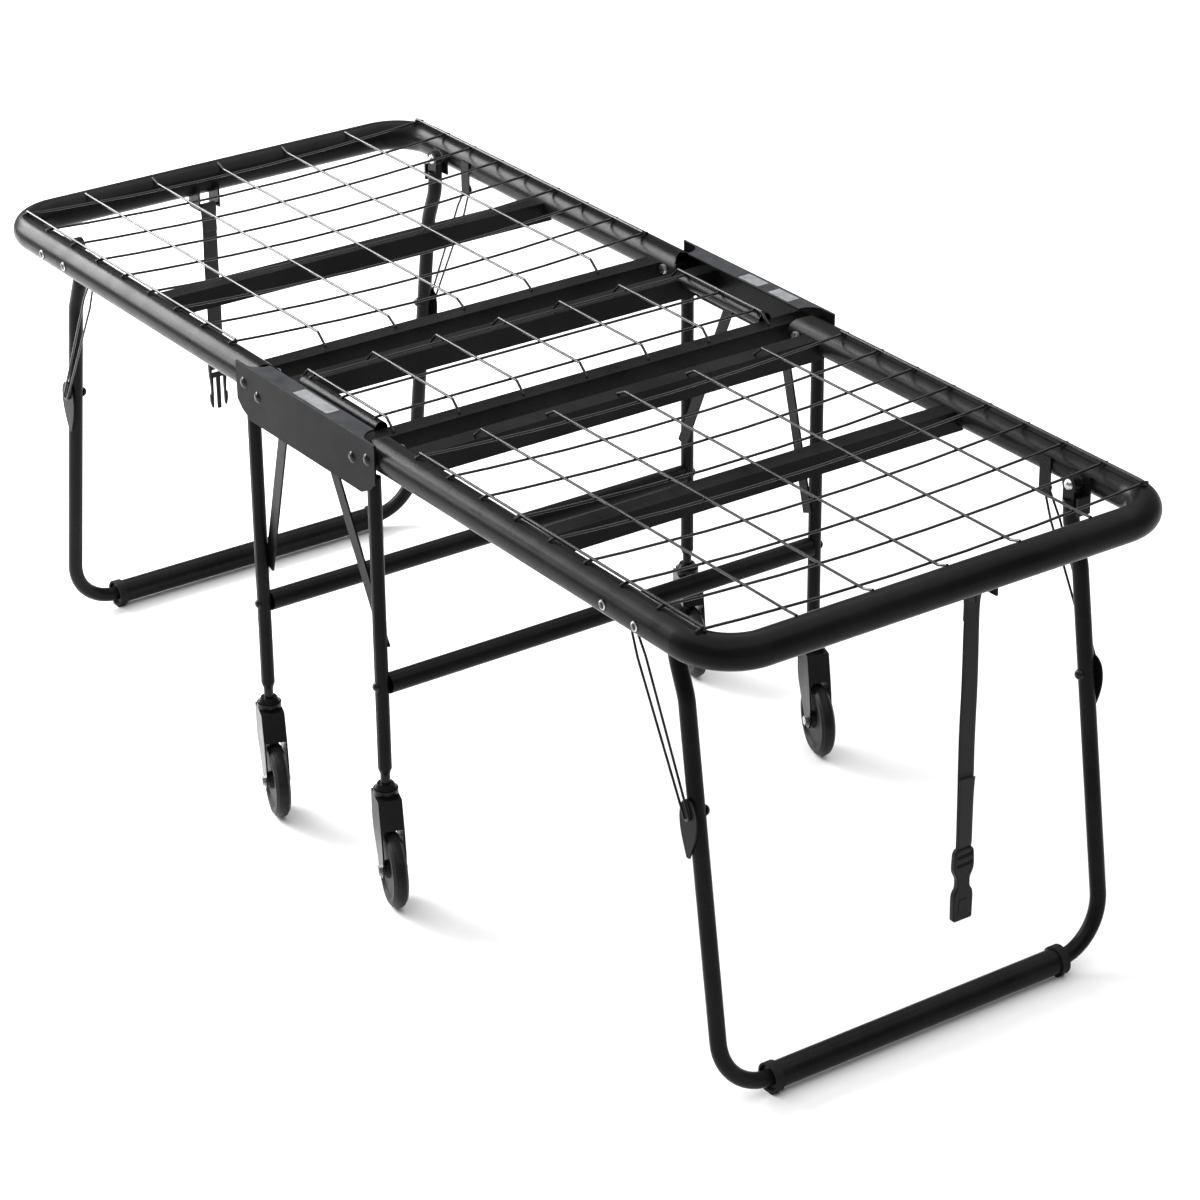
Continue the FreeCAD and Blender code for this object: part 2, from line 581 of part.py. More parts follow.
def leg_feet(end):
    """Rubber foot rings that grip the sleeve and stand on the floor."""
    x, z = LEG_PATH[-1]
    feet = []
    for side in SIDES.values():
        low, high = side * (FOOT_Y - FOOT_W / 2), side * (FOOT_Y + FOOT_W / 2)
        ring = rod(Vec(end * x, low, z), Vec(end * x, high, z), FOOT_R)
        pad = box(end * x - 9.0, end * x + 9.0, low, high, 0.0, z)
        foot = fuse([ring, pad])
        feet.append(foot.cut(rod(Vec(end * x, low, z), Vec(end * x, high, z), SLEEVE_R)))
    return Part.makeCompound(feet)


def latch_bolts(end):
    """Bolts through the leg that carry the latch plates: flush outside, domed nut inside."""
    bolts = []
    x = end * leg_x_at(LATCH_Z)
    for side in SIDES.values():
        inner = LEG_Y - LEG_R
        shank = y_pin(x, LATCH_Z, side, inner, LATCH_Y + LATCH_T, LATCH_PIN_R)
        nut = dome(x, LATCH_Z, side, inner, -7.0, 8.0)
        trim = rod(Vec(x, side * LEG_Y, LATCH_Z - 20), Vec(x, side * LEG_Y, LATCH_Z + 20), LEG_R)
        bolts.append(fuse([shank, nut.cut(trim)]))
    return Part.makeCompound(bolts)


def latch(end, side):
    """Pointed latch plate that hangs on its bolt beside the leg."""
    x = leg_x_at(LATCH_Z)
    y0 = side * LATCH_Y
    top = LATCH_Z + LATCH_UP
    low = LATCH_Z - LATCH_DOWN
    right = [Vec(end * (x + dx), y0, z) for dx, z in
             ((0.0, top), (LATCH_HALF * 0.8, LATCH_Z + LATCH_UP * 0.55), (LATCH_HALF, LATCH_Z),
              (LATCH_HALF * 0.7, LATCH_Z - LATCH_DOWN * 0.6), (3.0, low))]
    left = [Vec(2 * end * x - point.x, y0, point.z) for point in right]
    curves = []
    for points in (right, left):
        spline = Part.BSplineCurve()
        spline.interpolate(points)
        curves.append(spline.toShape())
    base = Part.LineSegment(right[-1], left[-1]).toShape()
    outline = Part.Wire(Part.sortEdges([curves[0], base, curves[1]])[0])
    plate = Part.Face(outline).extrude(Vec(0, side * LATCH_T, 0))
    return plate.cut(y_pin(end * x, LATCH_Z, side, LATCH_Y - 5, LATCH_Y + 8,
                           LATCH_PIN_R + RUN_GAP))


def stay(end, side):
    """Closed hairpin of wire: an eye on the deck pivot, two long runs and a narrow lower end."""
    top = Vec(end * STAY_X, side * STAY_Y, STAY_Z)
    pin = Vec(end * leg_x_at(LATCH_Z), side * STAY_Y, LATCH_Z)
    length = (pin - top).Length
    runs = [(0.0, STAY_EYE_R), (STAY_WIDE_AT, STAY_WIDE), (length, STAY_NARROW)]
    pieces = []
    for way in (-1, 1):
        points = [Vec(way * offset, 0, -distance) for distance, offset in runs]
        pieces.append(bent_wire(points, STAY_WIRE_R))
    for centre_z, loop_r, first in ((0.0, STAY_EYE_R, 0.0), (-length, STAY_NARROW, math.pi)):
        steps = [first + math.pi * k / 6.0 for k in range(7)]
        loop = [Vec(loop_r * math.cos(a), 0, centre_z + loop_r * math.sin(a)) for a in steps]
        pieces.append(bent_wire(loop, STAY_WIRE_R))
    hairpin = weld(pieces)
    lean = math.degrees(math.atan2(pin.x - top.x, top.z - pin.z))
    hairpin.rotate(Vec(0, 0, 0), Vec(0, 1, 0), -lean)
    hairpin.translate(top)
    return hairpin


# ---- closing straps -----------------------------------------------------------------------
def strap(end, name):
    """Webbing folded over its bar and hanging to the buckle."""
    x, y0 = end * STRAP_BAR_X, STRAP_Y[name]
    wide = STRAP_W / 2
    outer_r = STRAP_BAR_R + 0.5 + STRAP_T
    eye = rod(Vec(x, y0 - wide, STRAP_BAR_Z), Vec(x, y0 + wide, STRAP_BAR_Z), outer_r)
    tail = box(x - STRAP_T / 2 - 0.5, x + STRAP_T / 2 + 0.5, y0 - wide, y0 + wide,
               STRAP_LOW[name], STRAP_BAR_Z)
    bore = rod(Vec(x, y0 - wide, STRAP_BAR_Z), Vec(x, y0 + wide, STRAP_BAR_Z), STRAP_BAR_R + 0.5)
    return fuse([eye, tail]).cut(bore)


def buckle_block(end, name, rows):
    """Buckle half as a stack of blocks: (z low, z high, half width, half thickness)."""
    x, y0 = end * STRAP_BAR_X, STRAP_Y[name]
    return [box(x - half_t, x + half_t, y0 - half_w, y0 + half_w, z0, z1)
            for z0, z1, half_w, half_t in rows]


def socket_buckle(end, name):
    """Socket half: strap bar, waist and hollow socket body."""
    low, high = BUCKLE_LOW[name], STRAP_LOW[name]
    body = buckle_block(end, name, (
        (low, low + 42.0, 16.0, BUCKLE_T / 2), (low + 42.0, low + 72.0, 11.0, BUCKLE_T / 2),
        (low + 72.0, high, 17.0, BUCKLE_T / 2 - 1.5)))
    mouth = buckle_block(end, name, ((low - 1.0, low + 34.0, 13.0, BUCKLE_T / 2 - 2.0),))
    return fuse(body).cut(mouth[0])


def prong_buckle(end, name):
    """Plug half: slotted strap frame, centre guide and two side prongs."""
    low, high = BUCKLE_LOW[name], STRAP_LOW[name]
    body = buckle_block(end, name, (
        (low + 48.0, high, 16.0, BUCKLE_T / 2 - 1.5), (low, low + 48.0, 4.0, 2.5)))
    for way in (-1, 1):
        x, y0 = end * STRAP_BAR_X, STRAP_Y[name]
        body.append(box(x - 3.0, x + 3.0, y0 + way * 10.0, y0 + way * 14.5, low + 6.0, low + 48.0))
    slots = [box(end * STRAP_BAR_X - 20, end * STRAP_BAR_X + 20, STRAP_Y[name] - 12.0,
                 STRAP_Y[name] + 12.0, z0, z0 + 7.0) for z0 in (low + 54.0, low + 68.0)]
    piece = fuse(body)
    for slot in slots:
        piece = piece.cut(slot)
    return piece


# ---- assembly -----------------------------------------------------------------------------
def main():
    os.makedirs("parts", exist_ok=True)
    for side_name, side in SIDES.items():
        export("side_channel_" + side_name, side_channel(side))
        export("post_braces_" + side_name, braces(side))
    head_end = ENDS["head"]
    pair_stays = Part.makeCompound([stay(head_end, side) for side in SIDES.values()])
    pair_latches = Part.makeCompound([latch(head_end, side) for side in SIDES.values()])
    both_ends = {
        "frame_tube": deck_frame(head_end),
        "inner_crossbar": section_crossbar(head_end * INNER_BAR_X),
        "mid_crossbar": section_crossbar(head_end * MID_BAR_X),
        "wire_mesh": section_mesh(head_end),
        "pivot_brackets": pivot_brackets(head_end),
        "pivot_bolts": pivot_bolts(head_end),
        "leg_tube": leg_tube(head_end),
        "leg_sleeve": leg_sleeve(head_end),
        "leg_feet": leg_feet(head_end),
        "latch_bolts": latch_bolts(head_end),
        "latch_plates": pair_latches,
        "wire_stays": pair_stays,
        "centre_crossbar": crossbar(head_end * CENTRE_BAR_X, PLATE_Y0),
        "post_cross_tube": cross_tube(head_end),
    }
    for name, shape in both_ends.items():
        export("head_" + name, shape)
        export("foot_" + name, at_foot(shape))
    for end_name, end in ENDS.items():
        export(end_name + "_strap_bracket", strap_bracket(end, end_name))
        export(end_name + "_strap", strap(end, end_name))
        for side_name, side in SIDES.items():
            where = end_name + "_" + side_name
            export("post_" + where, post(end, side))
            export("caster_fork_" + where, placed(fork(), end, side))
            export("caster_wheel_" + where, placed(wheel(), end, side))
            export("caster_axle_" + where, placed(axle(), end, side))
    export("head_buckle_prongs", prong_buckle(-1, "head"))
    export("foot_buckle_socket", socket_buckle(1, "foot"))
    export("centre_side_tubes", centre_side_tubes())
    export("centre_wire_mesh", centre_mesh())
    export("hinge_bolts", hinge_bolts())
    export("frame_rivets", frame_rivets())
    stems = [caster_stem(end, side) for end in ENDS.values() for side in SIDES.values()]
    export("caster_stems", Part.makeCompound(stems))


main()
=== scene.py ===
import json
import math

import bmesh
import bpy
from mathutils import Euler, Matrix, Vector


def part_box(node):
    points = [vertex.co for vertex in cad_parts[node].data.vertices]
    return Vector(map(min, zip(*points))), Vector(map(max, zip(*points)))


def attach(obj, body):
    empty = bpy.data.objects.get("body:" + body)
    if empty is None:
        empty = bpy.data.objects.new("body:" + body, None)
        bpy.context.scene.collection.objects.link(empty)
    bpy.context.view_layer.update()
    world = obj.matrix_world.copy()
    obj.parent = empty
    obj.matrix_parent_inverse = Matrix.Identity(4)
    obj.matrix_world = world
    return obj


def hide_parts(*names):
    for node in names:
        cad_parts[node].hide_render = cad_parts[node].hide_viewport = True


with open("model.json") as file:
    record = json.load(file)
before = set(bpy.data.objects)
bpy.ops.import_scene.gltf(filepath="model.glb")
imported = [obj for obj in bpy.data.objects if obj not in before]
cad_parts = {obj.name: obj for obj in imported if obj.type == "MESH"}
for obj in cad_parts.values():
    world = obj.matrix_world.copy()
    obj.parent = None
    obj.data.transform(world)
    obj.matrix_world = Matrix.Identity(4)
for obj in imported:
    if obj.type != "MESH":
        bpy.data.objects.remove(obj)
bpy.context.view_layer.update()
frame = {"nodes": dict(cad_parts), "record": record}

NODES = frame["nodes"]
ENDS = {"head": -1, "foot": 1}
MM = 0.001

# Colours of the black parts: as coated, under a little dust, and the dust on the glossier parts.
COATED = (0.004, 0.004, 0.0045)
DUSTY = (0.010, 0.010, 0.011)
DUSTY_GLOSS = (0.012, 0.012, 0.013)

# Bolts across the deck tubes: distance from the bed's middle and height of their axes, and how
# far out from the middle line their black lacquer starts.
LEG_BOLT = (0.781, 0.684)
STAY_BOLT = (0.712, 0.686)
LACQUER_FROM = 0.36


# ---- materials ----------------------------------------------------------------------------
def new_material(name, color, roughness, metallic=0.0):
    """Material with a Principled shader, returned with its node tree and shader."""
    mat = bpy.data.materials.new(name)
    mat.use_nodes = True
    tree = mat.node_tree
    shader = tree.nodes["Principled BSDF"]
    shader.inputs["Base Color"].default_value = (*color, 1)
    shader.inputs["Roughness"].default_value = roughness
    shader.inputs["Metallic"].default_value = metallic
    return mat, tree, shader


def object_coords(tree):
    """Coordinates fixed to the piece: they turn and move with it."""
    return tree.nodes.new("ShaderNodeTexCoord").outputs["Object"]


def noise(tree, scale, detail=4.0, rough=0.55):
    """Noise in object coordinates, from 0 to 1."""
    node = tree.nodes.new("ShaderNodeTexNoise")
    node.inputs["Scale"].default_value = scale
    node.inputs["Detail"].default_value = detail
    node.inputs["Roughness"].default_value = rough
    tree.links.new(object_coords(tree), node.inputs["Vector"])
    return node.outputs["Fac"]


def ramp(tree, fac, stops):
    """Colour ramp: stops are (position, grey) or (position, (r, g, b))."""
    node = tree.nodes.new("ShaderNodeValToRGB")
    marks = node.color_ramp.elements
    while len(marks) < len(stops):
        marks.new(0.5)
    for mark, (place, value) in zip(marks, stops):
        mark.position = place
        color = (value,) * 3 if isinstance(value, float) else value
        mark.color = (*color, 1)
    tree.links.new(fac, node.inputs["Fac"])
    return node.outputs["Color"]


def add_bump(tree, shader, height, strength, distance, under=None):
    """Bump on the shader's normal, laid over another bump's normal if one is given."""
    node = tree.nodes.new("ShaderNodeBump")
    node.inputs["Strength"].default_value = strength
    node.inputs["Distance"].default_value = distance
    tree.links.new(height, node.inputs["Height"])
    if under is not None:
        tree.links.new(under, node.inputs["Normal"])
    tree.links.new(node.outputs["Normal"], shader.inputs["Normal"])
    return node.outputs["Normal"]


def split_xyz(tree, vector):
    """The X, Y and Z outputs of a vector."""
    node = tree.nodes.new("ShaderNodeSeparateXYZ")
    tree.links.new(vector, node.inputs["Vector"])
    return node.outputs


def vector_math(tree, operation, vector, constant=(0, 0, 0)):
    """Outputs of a vector operation between a socket and a fixed vector."""
    node = tree.nodes.new("ShaderNodeVectorMath")
    node.operation = operation
    node.inputs[1].default_value = constant
    tree.links.new(vector, node.inputs[0])
    return node.outputs


def math_node(tree, operation, first, second):
    """Result of a maths operation; the second value is a socket or a number."""
    node = tree.nodes.new("ShaderNodeMath")
    node.operation = operation
    tree.links.new(first, node.inputs[0])
    if isinstance(second, float):
        node.inputs[1].default_value = second
    else:
        tree.links.new(second, node.inputs[1])
    return node.outputs["Value"]


def mix_colors(tree, factor, first, second):
    """The first colour where the factor is 0, the second where it is 1."""
    color_a, color_b, color_result = 6, 7, 2
    node = tree.nodes.new("ShaderNodeMix")
    node.data_type = "RGBA"
    tree.links.new(factor, node.inputs["Factor"])
    tree.links.new(first, node.inputs[color_a])
    tree.links.new(second, node.inputs[color_b])
    return node.outputs[color_result]


def powder_coat(name, dark, light, rough_low, rough_high, shine=0.07):
    """Black powder coat: orange peel, uneven gloss and a faint cloud of lighter dust."""
    mat, tree, shader = new_material(name, dark, rough_low)
    shader.inputs["Specular IOR Level"].default_value = shine
    cloud = noise(tree, scale=9.0, detail=5.0)
    tree.links.new(ramp(tree, cloud, ((0.35, dark), (0.75, light))), shader.inputs["Base Color"])
    gloss = noise(tree, scale=26.0, detail=6.0)
    tree.links.new(ramp(tree, gloss, ((0.3, rough_low), (0.75, rough_high))),
                   shader.inputs["Roughness"])
    orange_peel = noise(tree, scale=420.0, detail=3.0)
    add_bump(tree, shader, orange_peel, strength=0.25, distance=0.0006)
    return mat


def channel_coat(flange_top):
    """The powder coat of the side channels, with painted sheen: a paler grey on top of their
    flanges.
    """
    sheen_starts, sheen_full = 0.0012, 0.0004
    mat = powder_coat("channel_powder_coat", COATED, DUSTY, 0.26, 0.40, shine=0.03)
    tree = mat.node_tree
    shader = tree.nodes["Principled BSDF"]
    under = shader.inputs["Base Color"].links[0].from_socket
    # Painted sheen: just under the flange top the colour turns paler grey, standing in for the
    # light the flat tops catch.
    level = tree.nodes.new("ShaderNodeMapRange")
    level.inputs["From Min"].default_value = flange_top - sheen_starts
    level.inputs["From Max"].default_value = flange_top - sheen_full
    tree.links.new(split_xyz(tree, object_coords(tree))["Z"], level.inputs["Value"])
    flange_sheen = ramp(tree, noise(tree, scale=38.0, detail=6.0),
                ((0.3, (0.030, 0.031, 0.034)), (0.75, (0.052, 0.053, 0.057))))
    tree.links.new(mix_colors(tree, level.outputs["Result"], under, flange_sheen),
                   shader.inputs["Base Color"])
    return mat


def zinc(name, grey, rough_low, rough_high):
    """Bright plated steel with fine scratches."""
    mat, tree, shader = new_material(name, (grey,) * 3, rough_low, metallic=1.0)
    tarnish = noise(tree, scale=60.0)
    tree.links.new(ramp(tree, tarnish, ((0.3, grey * 0.72), (0.7, grey))),
                   shader.inputs["Base Color"])
    scratches = noise(tree, scale=700.0, rough=0.7)
    tree.links.new(ramp(tree, scratches, ((0.3, rough_low), (0.7, rough_high))),
                   shader.inputs["Roughness"])
    add_bump(tree, shader, scratches, strength=0.15, distance=0.0003)
    return mat


def bolt_metal(name, bolt_axes):
    """Zinc bolts lacquered black outside the frame, with a painted highlight: a bright bare-metal
    ring on each round head.

    The painted highlight rings lie round the axes given as (distance from the bed's middle,
    height).
    """
    # Painted highlight: a bright metal ring, 4.6 to 6.8 mm from each bolt axis, on the black round
    # heads. The bare zinc inboard of LACQUER_FROM is the bolts' own finish.
    highlight_ring_marks = ((0.46, 0.0), (0.50, 1.0), (0.64, 1.0), (0.68, 0.0))
    mat = zinc(name, 0.60, 0.20, 0.36)
    tree = mat.node_tree
    shader = tree.nodes["Principled BSDF"]
    bright = shader.inputs["Base Color"].links[0].from_socket
    one_quarter = vector_math(tree, "ABSOLUTE", object_coords(tree))["Vector"]
    bare_metal_and_ring_highlight = math_node(tree, "LESS_THAN", split_xyz(tree, one_quarter)["Y"], LACQUER_FROM)
    side_on = vector_math(tree, "MULTIPLY", one_quarter, (1, 0, 1))["Vector"]
    for x, z in bolt_axes:
        away = vector_math(tree, "DISTANCE", side_on, (x, 0, z))["Value"]
        centimetres = math_node(tree, "MULTIPLY", away, 100.0)
        bare_metal_and_ring_highlight = math_node(tree, "MAXIMUM", bare_metal_and_ring_highlight, ramp(tree, centimetres, highlight_ring_marks))
    lacquer = ramp(tree, noise(tree, scale=60.0), ((0.3, COATED), (0.75, DUSTY_GLOSS)))
    tree.links.new(mix_colors(tree, bare_metal_and_ring_highlight, lacquer, bright), shader.inputs["Base Color"])
    tree.links.new(bare_metal_and_ring_highlight, shader.inputs["Metallic"])
    shader.inputs["Specular IOR Level"].default_value = 0.2
    return mat


def plastic(name, dark, light, rough_low, rough_high):
    """Moulded plastic or rubber with a fine grain and a few scuffs."""
    mat, tree, shader = new_material(name, dark, rough_low)
    shader.inputs["Specular IOR Level"].default_value = 0.14
    scuff = noise(tree, scale=45.0, detail=8.0, rough=0.7)
    tree.links.new(ramp(tree, scuff, ((0.45, dark), (0.8, light))), shader.inputs["Base Color"])
    tree.links.new(ramp(tree, scuff, ((0.3, rough_low), (0.8, rough_high))),
                   shader.inputs["Roughness"])
    grain = noise(tree, scale=900.0, detail=2.0)
    add_bump(tree, shader, grain, strength=0.3, distance=0.0003)
    return mat


def webbing_material():
    """Woven webbing: a diagonal twill from two crossed waves, with fuzzy thread noise."""
    mat, tree, shader = new_material("webbing", (0.012, 0.012, 0.013), 0.85)
    shader.inputs["Sheen Weight"].default_value = 0.1
    shader.inputs["Specular IOR Level"].default_value = 0.3
    shader.inputs["Sheen Roughness"].default_value = 0.5
    waves = []
    for twill_angle in (0.9, -0.9):
        mapping = tree.nodes.new("ShaderNodeMapping")
        mapping.inputs["Rotation"].default_value = (twill_angle, 0, 0)
        tree.links.new(object_coords(tree), mapping.inputs["Vector"])
        wave = tree.nodes.new("ShaderNodeTexWave")
        wave.bands_direction = "Z"
        wave.inputs["Scale"].default_value = 160.0
        wave.inputs["Distortion"].default_value = 0.4
        tree.links.new(mapping.outputs["Vector"], wave.inputs["Vector"])
        waves.append(wave.outputs["Fac"])
    weave = math_node(tree, "MAXIMUM", waves[0], waves[1])
    threads = ((0.2, (0.003, 0.003, 0.0035)), (0.95, (0.016, 0.016, 0.018)))
    tree.links.new(ramp(tree, weave, threads), shader.inputs["Base Color"])
    under = add_bump(tree, shader, weave, strength=0.6, distance=0.0006)
    fuzz = noise(tree, scale=1500.0, detail=2.0)
    add_bump(tree, shader, fuzz, strength=0.3, distance=0.0003, under=under)
    return mat


def label_material():
    """Blank foil label: pale, a little silvery and unevenly pressed down."""
    mat, tree, shader = new_material("blank_label", (0.2, 0.2, 0.21), 0.35)
    mottle = noise(tree, scale=70.0, detail=6.0)
    tree.links.new(ramp(tree, mottle, ((0.3, (0.14, 0.143, 0.15)), (0.75, (0.25, 0.253, 0.26)))),
                   shader.inputs["Base Color"])
    tree.links.new(ramp(tree, noise(tree, scale=120.0), ((0.3, 0.3), (0.7, 0.5))),
                   shader.inputs["Roughness"])
    creases = noise(tree, scale=160.0, detail=3.0)
    add_bump(tree, shader, creases, strength=0.2, distance=0.0005)
    return mat


def floor_material():
    """Plain pale studio floor, very slightly uneven."""
    mat, tree, shader = new_material("studio_floor", (0.9, 0.9, 0.9), 0.6)
    tree.links.new(ramp(tree, noise(tree, scale=1.3, detail=3.0), ((0.3, 0.87), (0.7, 0.9))),
                   shader.inputs["Base Color"])
    add_bump(tree, shader, noise(tree, scale=60.0), strength=0.05, distance=0.001)
    return mat


BLACK = powder_coat("black_powder_coat", COATED, DUSTY, 0.24, 0.38)
CHANNEL = channel_coat(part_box("side_channel_near")[1].z)
WIRE = powder_coat("black_wire_coat", (0.005, 0.005, 0.0055), DUSTY_GLOSS, 0.22, 0.36, shine=0.3)
FORK = powder_coat("black_lacquer", COATED, DUSTY, 0.16, 0.32, shine=0.14)
RIVET = powder_coat("rivet_lacquer", COATED, DUSTY_GLOSS, 0.12, 0.26, shine=0.2)
ZINC = zinc("bright_zinc", 0.55, 0.20, 0.36)
PIVOT_METAL = bolt_metal("pivot_bolt_metal", (LEG_BOLT, STAY_BOLT))
HINGE_METAL = bolt_metal("hinge_bolt_metal", ())
WHEEL = plastic("wheel_plastic", (0.005, 0.005, 0.005), (0.016, 0.016, 0.016), 0.4, 0.6)
BUCKLE = plastic("buckle_plastic", (0.005, 0.005, 0.0055), (0.014, 0.014, 0.015), 0.32, 0.5)
RUBBER = plastic("foot_rubber", (0.006, 0.006, 0.006), (0.018, 0.018, 0.018), 0.6, 0.85)
WEBBING = webbing_material()
LABEL = label_material()

# A node named in BY_NODE has its own material; any other has that of its slot.
BY_SLOT = {"frame_black": BLACK, "mesh_wire": WIRE, "hardware_steel": ZINC, "fork_black": FORK,
           "wheel_plastic": WHEEL, "webbing": WEBBING, "buckle_plastic": BUCKLE,
           "foot_rubber": RUBBER}
BY_NODE = {"frame_rivets": RIVET, "hinge_bolts": HINGE_METAL, "side_channel_near": CHANNEL,
           "side_channel_far": CHANNEL, "head_pivot_bolts": PIVOT_METAL,
           "foot_pivot_bolts": PIVOT_METAL, "head_latch_bolts": RIVET, "foot_latch_bolts": RIVET}
for part in frame["record"]["subparts"]:
    mesh = NODES[part["node"]].data
    mesh.materials.clear()
    mesh.materials.append(BY_NODE.get(part["node"], BY_SLOT[part["material_slot"]]))


# ---- building helpers ---------------------------------------------------------------------
def new_object(name, mesh, material, body):
    """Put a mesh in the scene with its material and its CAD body."""
    piece = bpy.data.objects.new(name, mesh)
    bpy.context.scene.collection.objects.link(piece)
    mesh.materials.clear()
    mesh.materials.append(material)
    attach(piece, body)
    return piece


def evaluated_mesh(obj):
    """The object's final mesh; the object itself is removed."""
    graph = bpy.context.evaluated_depsgraph_get()
    mesh = bpy.data.meshes.new_from_object(obj.evaluated_get(graph))
    bpy.data.objects.remove(obj)
    return mesh


def rounded(points, reach, steps=6):
    """Closed outline with each corner rounded off from reach before it to reach after it."""
    most_of_side = 0.45
    result = []
    for k, corner in enumerate(points):
        corner = Vector(corner)
        before = Vector(points[k - 1]) - corner
        after = Vector(points[(k + 1) % len(points)]) - corner
        first = corner + before.normalized() * min(reach, before.length * most_of_side)
        last = corner + after.normalized() * min(reach, after.length * most_of_side)
        for step in range(steps + 1):
            t = step / steps
            result.append(first * (1 - t) ** 2 + corner * 2 * t * (1 - t) + last * t ** 2)
    return result


def cutout(outer, holes, thickness, bevel):
    """Flat moulded or pressed shape in the XY plane, with holes and eased edges, as a mesh."""
    curve = bpy.data.curves.new("outline", "CURVE")
    curve.dimensions = "2D"
    curve.fill_mode = "BOTH"
    curve.extrude = thickness / 2 - bevel
    curve.bevel_depth = bevel
    curve.bevel_resolution = 2
    curve.offset = -bevel
    for loop in [outer] + list(holes):
        spline = curve.splines.new("POLY")
        spline.points.add(len(loop) - 1)
        for point, (x, y) in zip(spline.points, loop):
            point.co = (x, y, 0, 1)
        spline.use_cyclic_u = True
    obj = bpy.data.objects.new("outline", curve)
    bpy.context.scene.collection.objects.link(obj)
    return evaluated_mesh(obj)


def joined(meshes):
    """One mesh from several."""
    work = bmesh.new()
    for mesh in meshes:
        work.from_mesh(mesh)
    mesh = bpy.data.meshes.new("joined")
    work.to_mesh(mesh)
    work.free()
    return mesh


def carved(mesh, low, high):
    """The mesh with a box cut out of it."""
    body = bpy.data.objects.new("body", mesh)
    work = bmesh.new()
    bmesh.ops.create_cube(work, size=1.0)
    size = Vector(high) - Vector(low)
    shift = Matrix.Translation((Vector(low) + Vector(high)) / 2)
    work.transform(shift @ Matrix.Diagonal((*size, 1)))
    cut_mesh = bpy.data.meshes.new("cutter")
    work.to_mesh(cut_mesh)
    work.free()
    cutter = bpy.data.objects.new("cutter", cut_mesh)
    for obj in (body, cutter):
        bpy.context.scene.collection.objects.link(obj)
    modifier = body.modifiers.new("cut", "BOOLEAN")
    modifier.object = cutter
    modifier.solver = "EXACT"
    result = evaluated_mesh(body)
    bpy.data.objects.remove(cutter)
    return result


def upright(mesh, x, y, z, end):
    """Stand an XY outline up across the bed: its X along world Y, its Y along world Z."""
    turn = Matrix(((0, 0, end, x), (1, 0, 0, y), (0, 1, 0, z), (0, 0, 0, 1)))
    mesh.transform(turn)
    if turn.determinant() < 0:
        mesh.flip_normals()
    return mesh


def line_through(route):
    """Points of the smooth NURBS line with these control points."""
    curve = bpy.data.curves.new("route", "CURVE")
    curve.dimensions = "3D"
    curve.resolution_u = 8
    spline = curve.splines.new("NURBS")
    spline.points.add(len(route) - 1)
    for point, place in zip(spline.points, route):
        point.co = (*place, 1)
    spline.order_u = 3
    spline.use_endpoint_u = True
    obj = bpy.data.objects.new("route", curve)
    bpy.context.scene.collection.objects.link(obj)
    mesh = evaluated_mesh(obj)
    points = [vertex.co.copy() for vertex in mesh.vertices]
    bpy.data.meshes.remove(mesh)
    return points


def ribbon(points, width, thickness, twist):
    """Webbing along a line in an XZ plane, with thinner edges.

    twist gives its turn about the upright at each height.
    """
    across_count = 8
    edge_thinning, edge_power = 0.35, 8
    work = bmesh.new()
    rings = []
    for k, point in enumerate(points):
        ahead = points[min(k + 1, len(points) - 1)] - points[max(k - 1, 0)]
        angle = twist(point.z)
        side = Vector((math.sin(angle), math.cos(angle), 0))
        normal = ahead.cross(side).normalized()
        ring = []
        for way in (1, -1):
            for j in range(across_count + 1):
                share = way * (1 - 2 * j / across_count)
                edge = 1 - edge_thinning * abs(share) ** edge_power
                ring.append(work.verts.new(point + side * (share * width / 2)
                                           + normal * (way * edge * thickness / 2)))
        rings.append(ring)
    count = len(rings[0])
    for low, high in zip(rings, rings[1:]):
        for j in range(count):
            work.faces.new((low[j], low[(j + 1) % count], high[(j + 1) % count], high[j]))
    work.faces.new(rings[0])
    work.faces.new(list(reversed(rings[-1])))
    bmesh.ops.recalc_face_normals(work, faces=work.faces)
    for face in work.faces:
        face.smooth = len(face.verts) == 4
    mesh = bpy.data.meshes.new("ribbon")
    work.to_mesh(mesh)
    work.free()
    return mesh


# ---- closing straps -----------------------------------------------------------------------
STRAP_WIDTH, STRAP_THICK = 0.025, 0.0017
LAP_WIDTH = STRAP_WIDTH * 0.97
WRAP = 0.0042                                   # from the bar's axis to the webbing round it
BAR_X, BAR_Z = 0.894, 0.650                     # axis of the bracket's bar
CLEAR_Z = 0.60                                  # below it the webbing hangs free
STRAP_Y = {"head": -0.034, "foot": 0.062}
STRAP_LOW = {"head": 0.388, "foot": 0.268}
LAP_TOP = {"head": 0.430, "foot": 0.374}
BUCKLE_LOW = {"head": 0.296, "foot": 0.158}
RIPPLE, RIPPLE_STEP = 0.0012, 2.2               # depth, and radians from point to point
TWIST = math.radians(7.0)


def in_mm(loop):
    """Points given in millimetres, in metres."""
    return [(x * MM, y * MM) for x, y in loop]


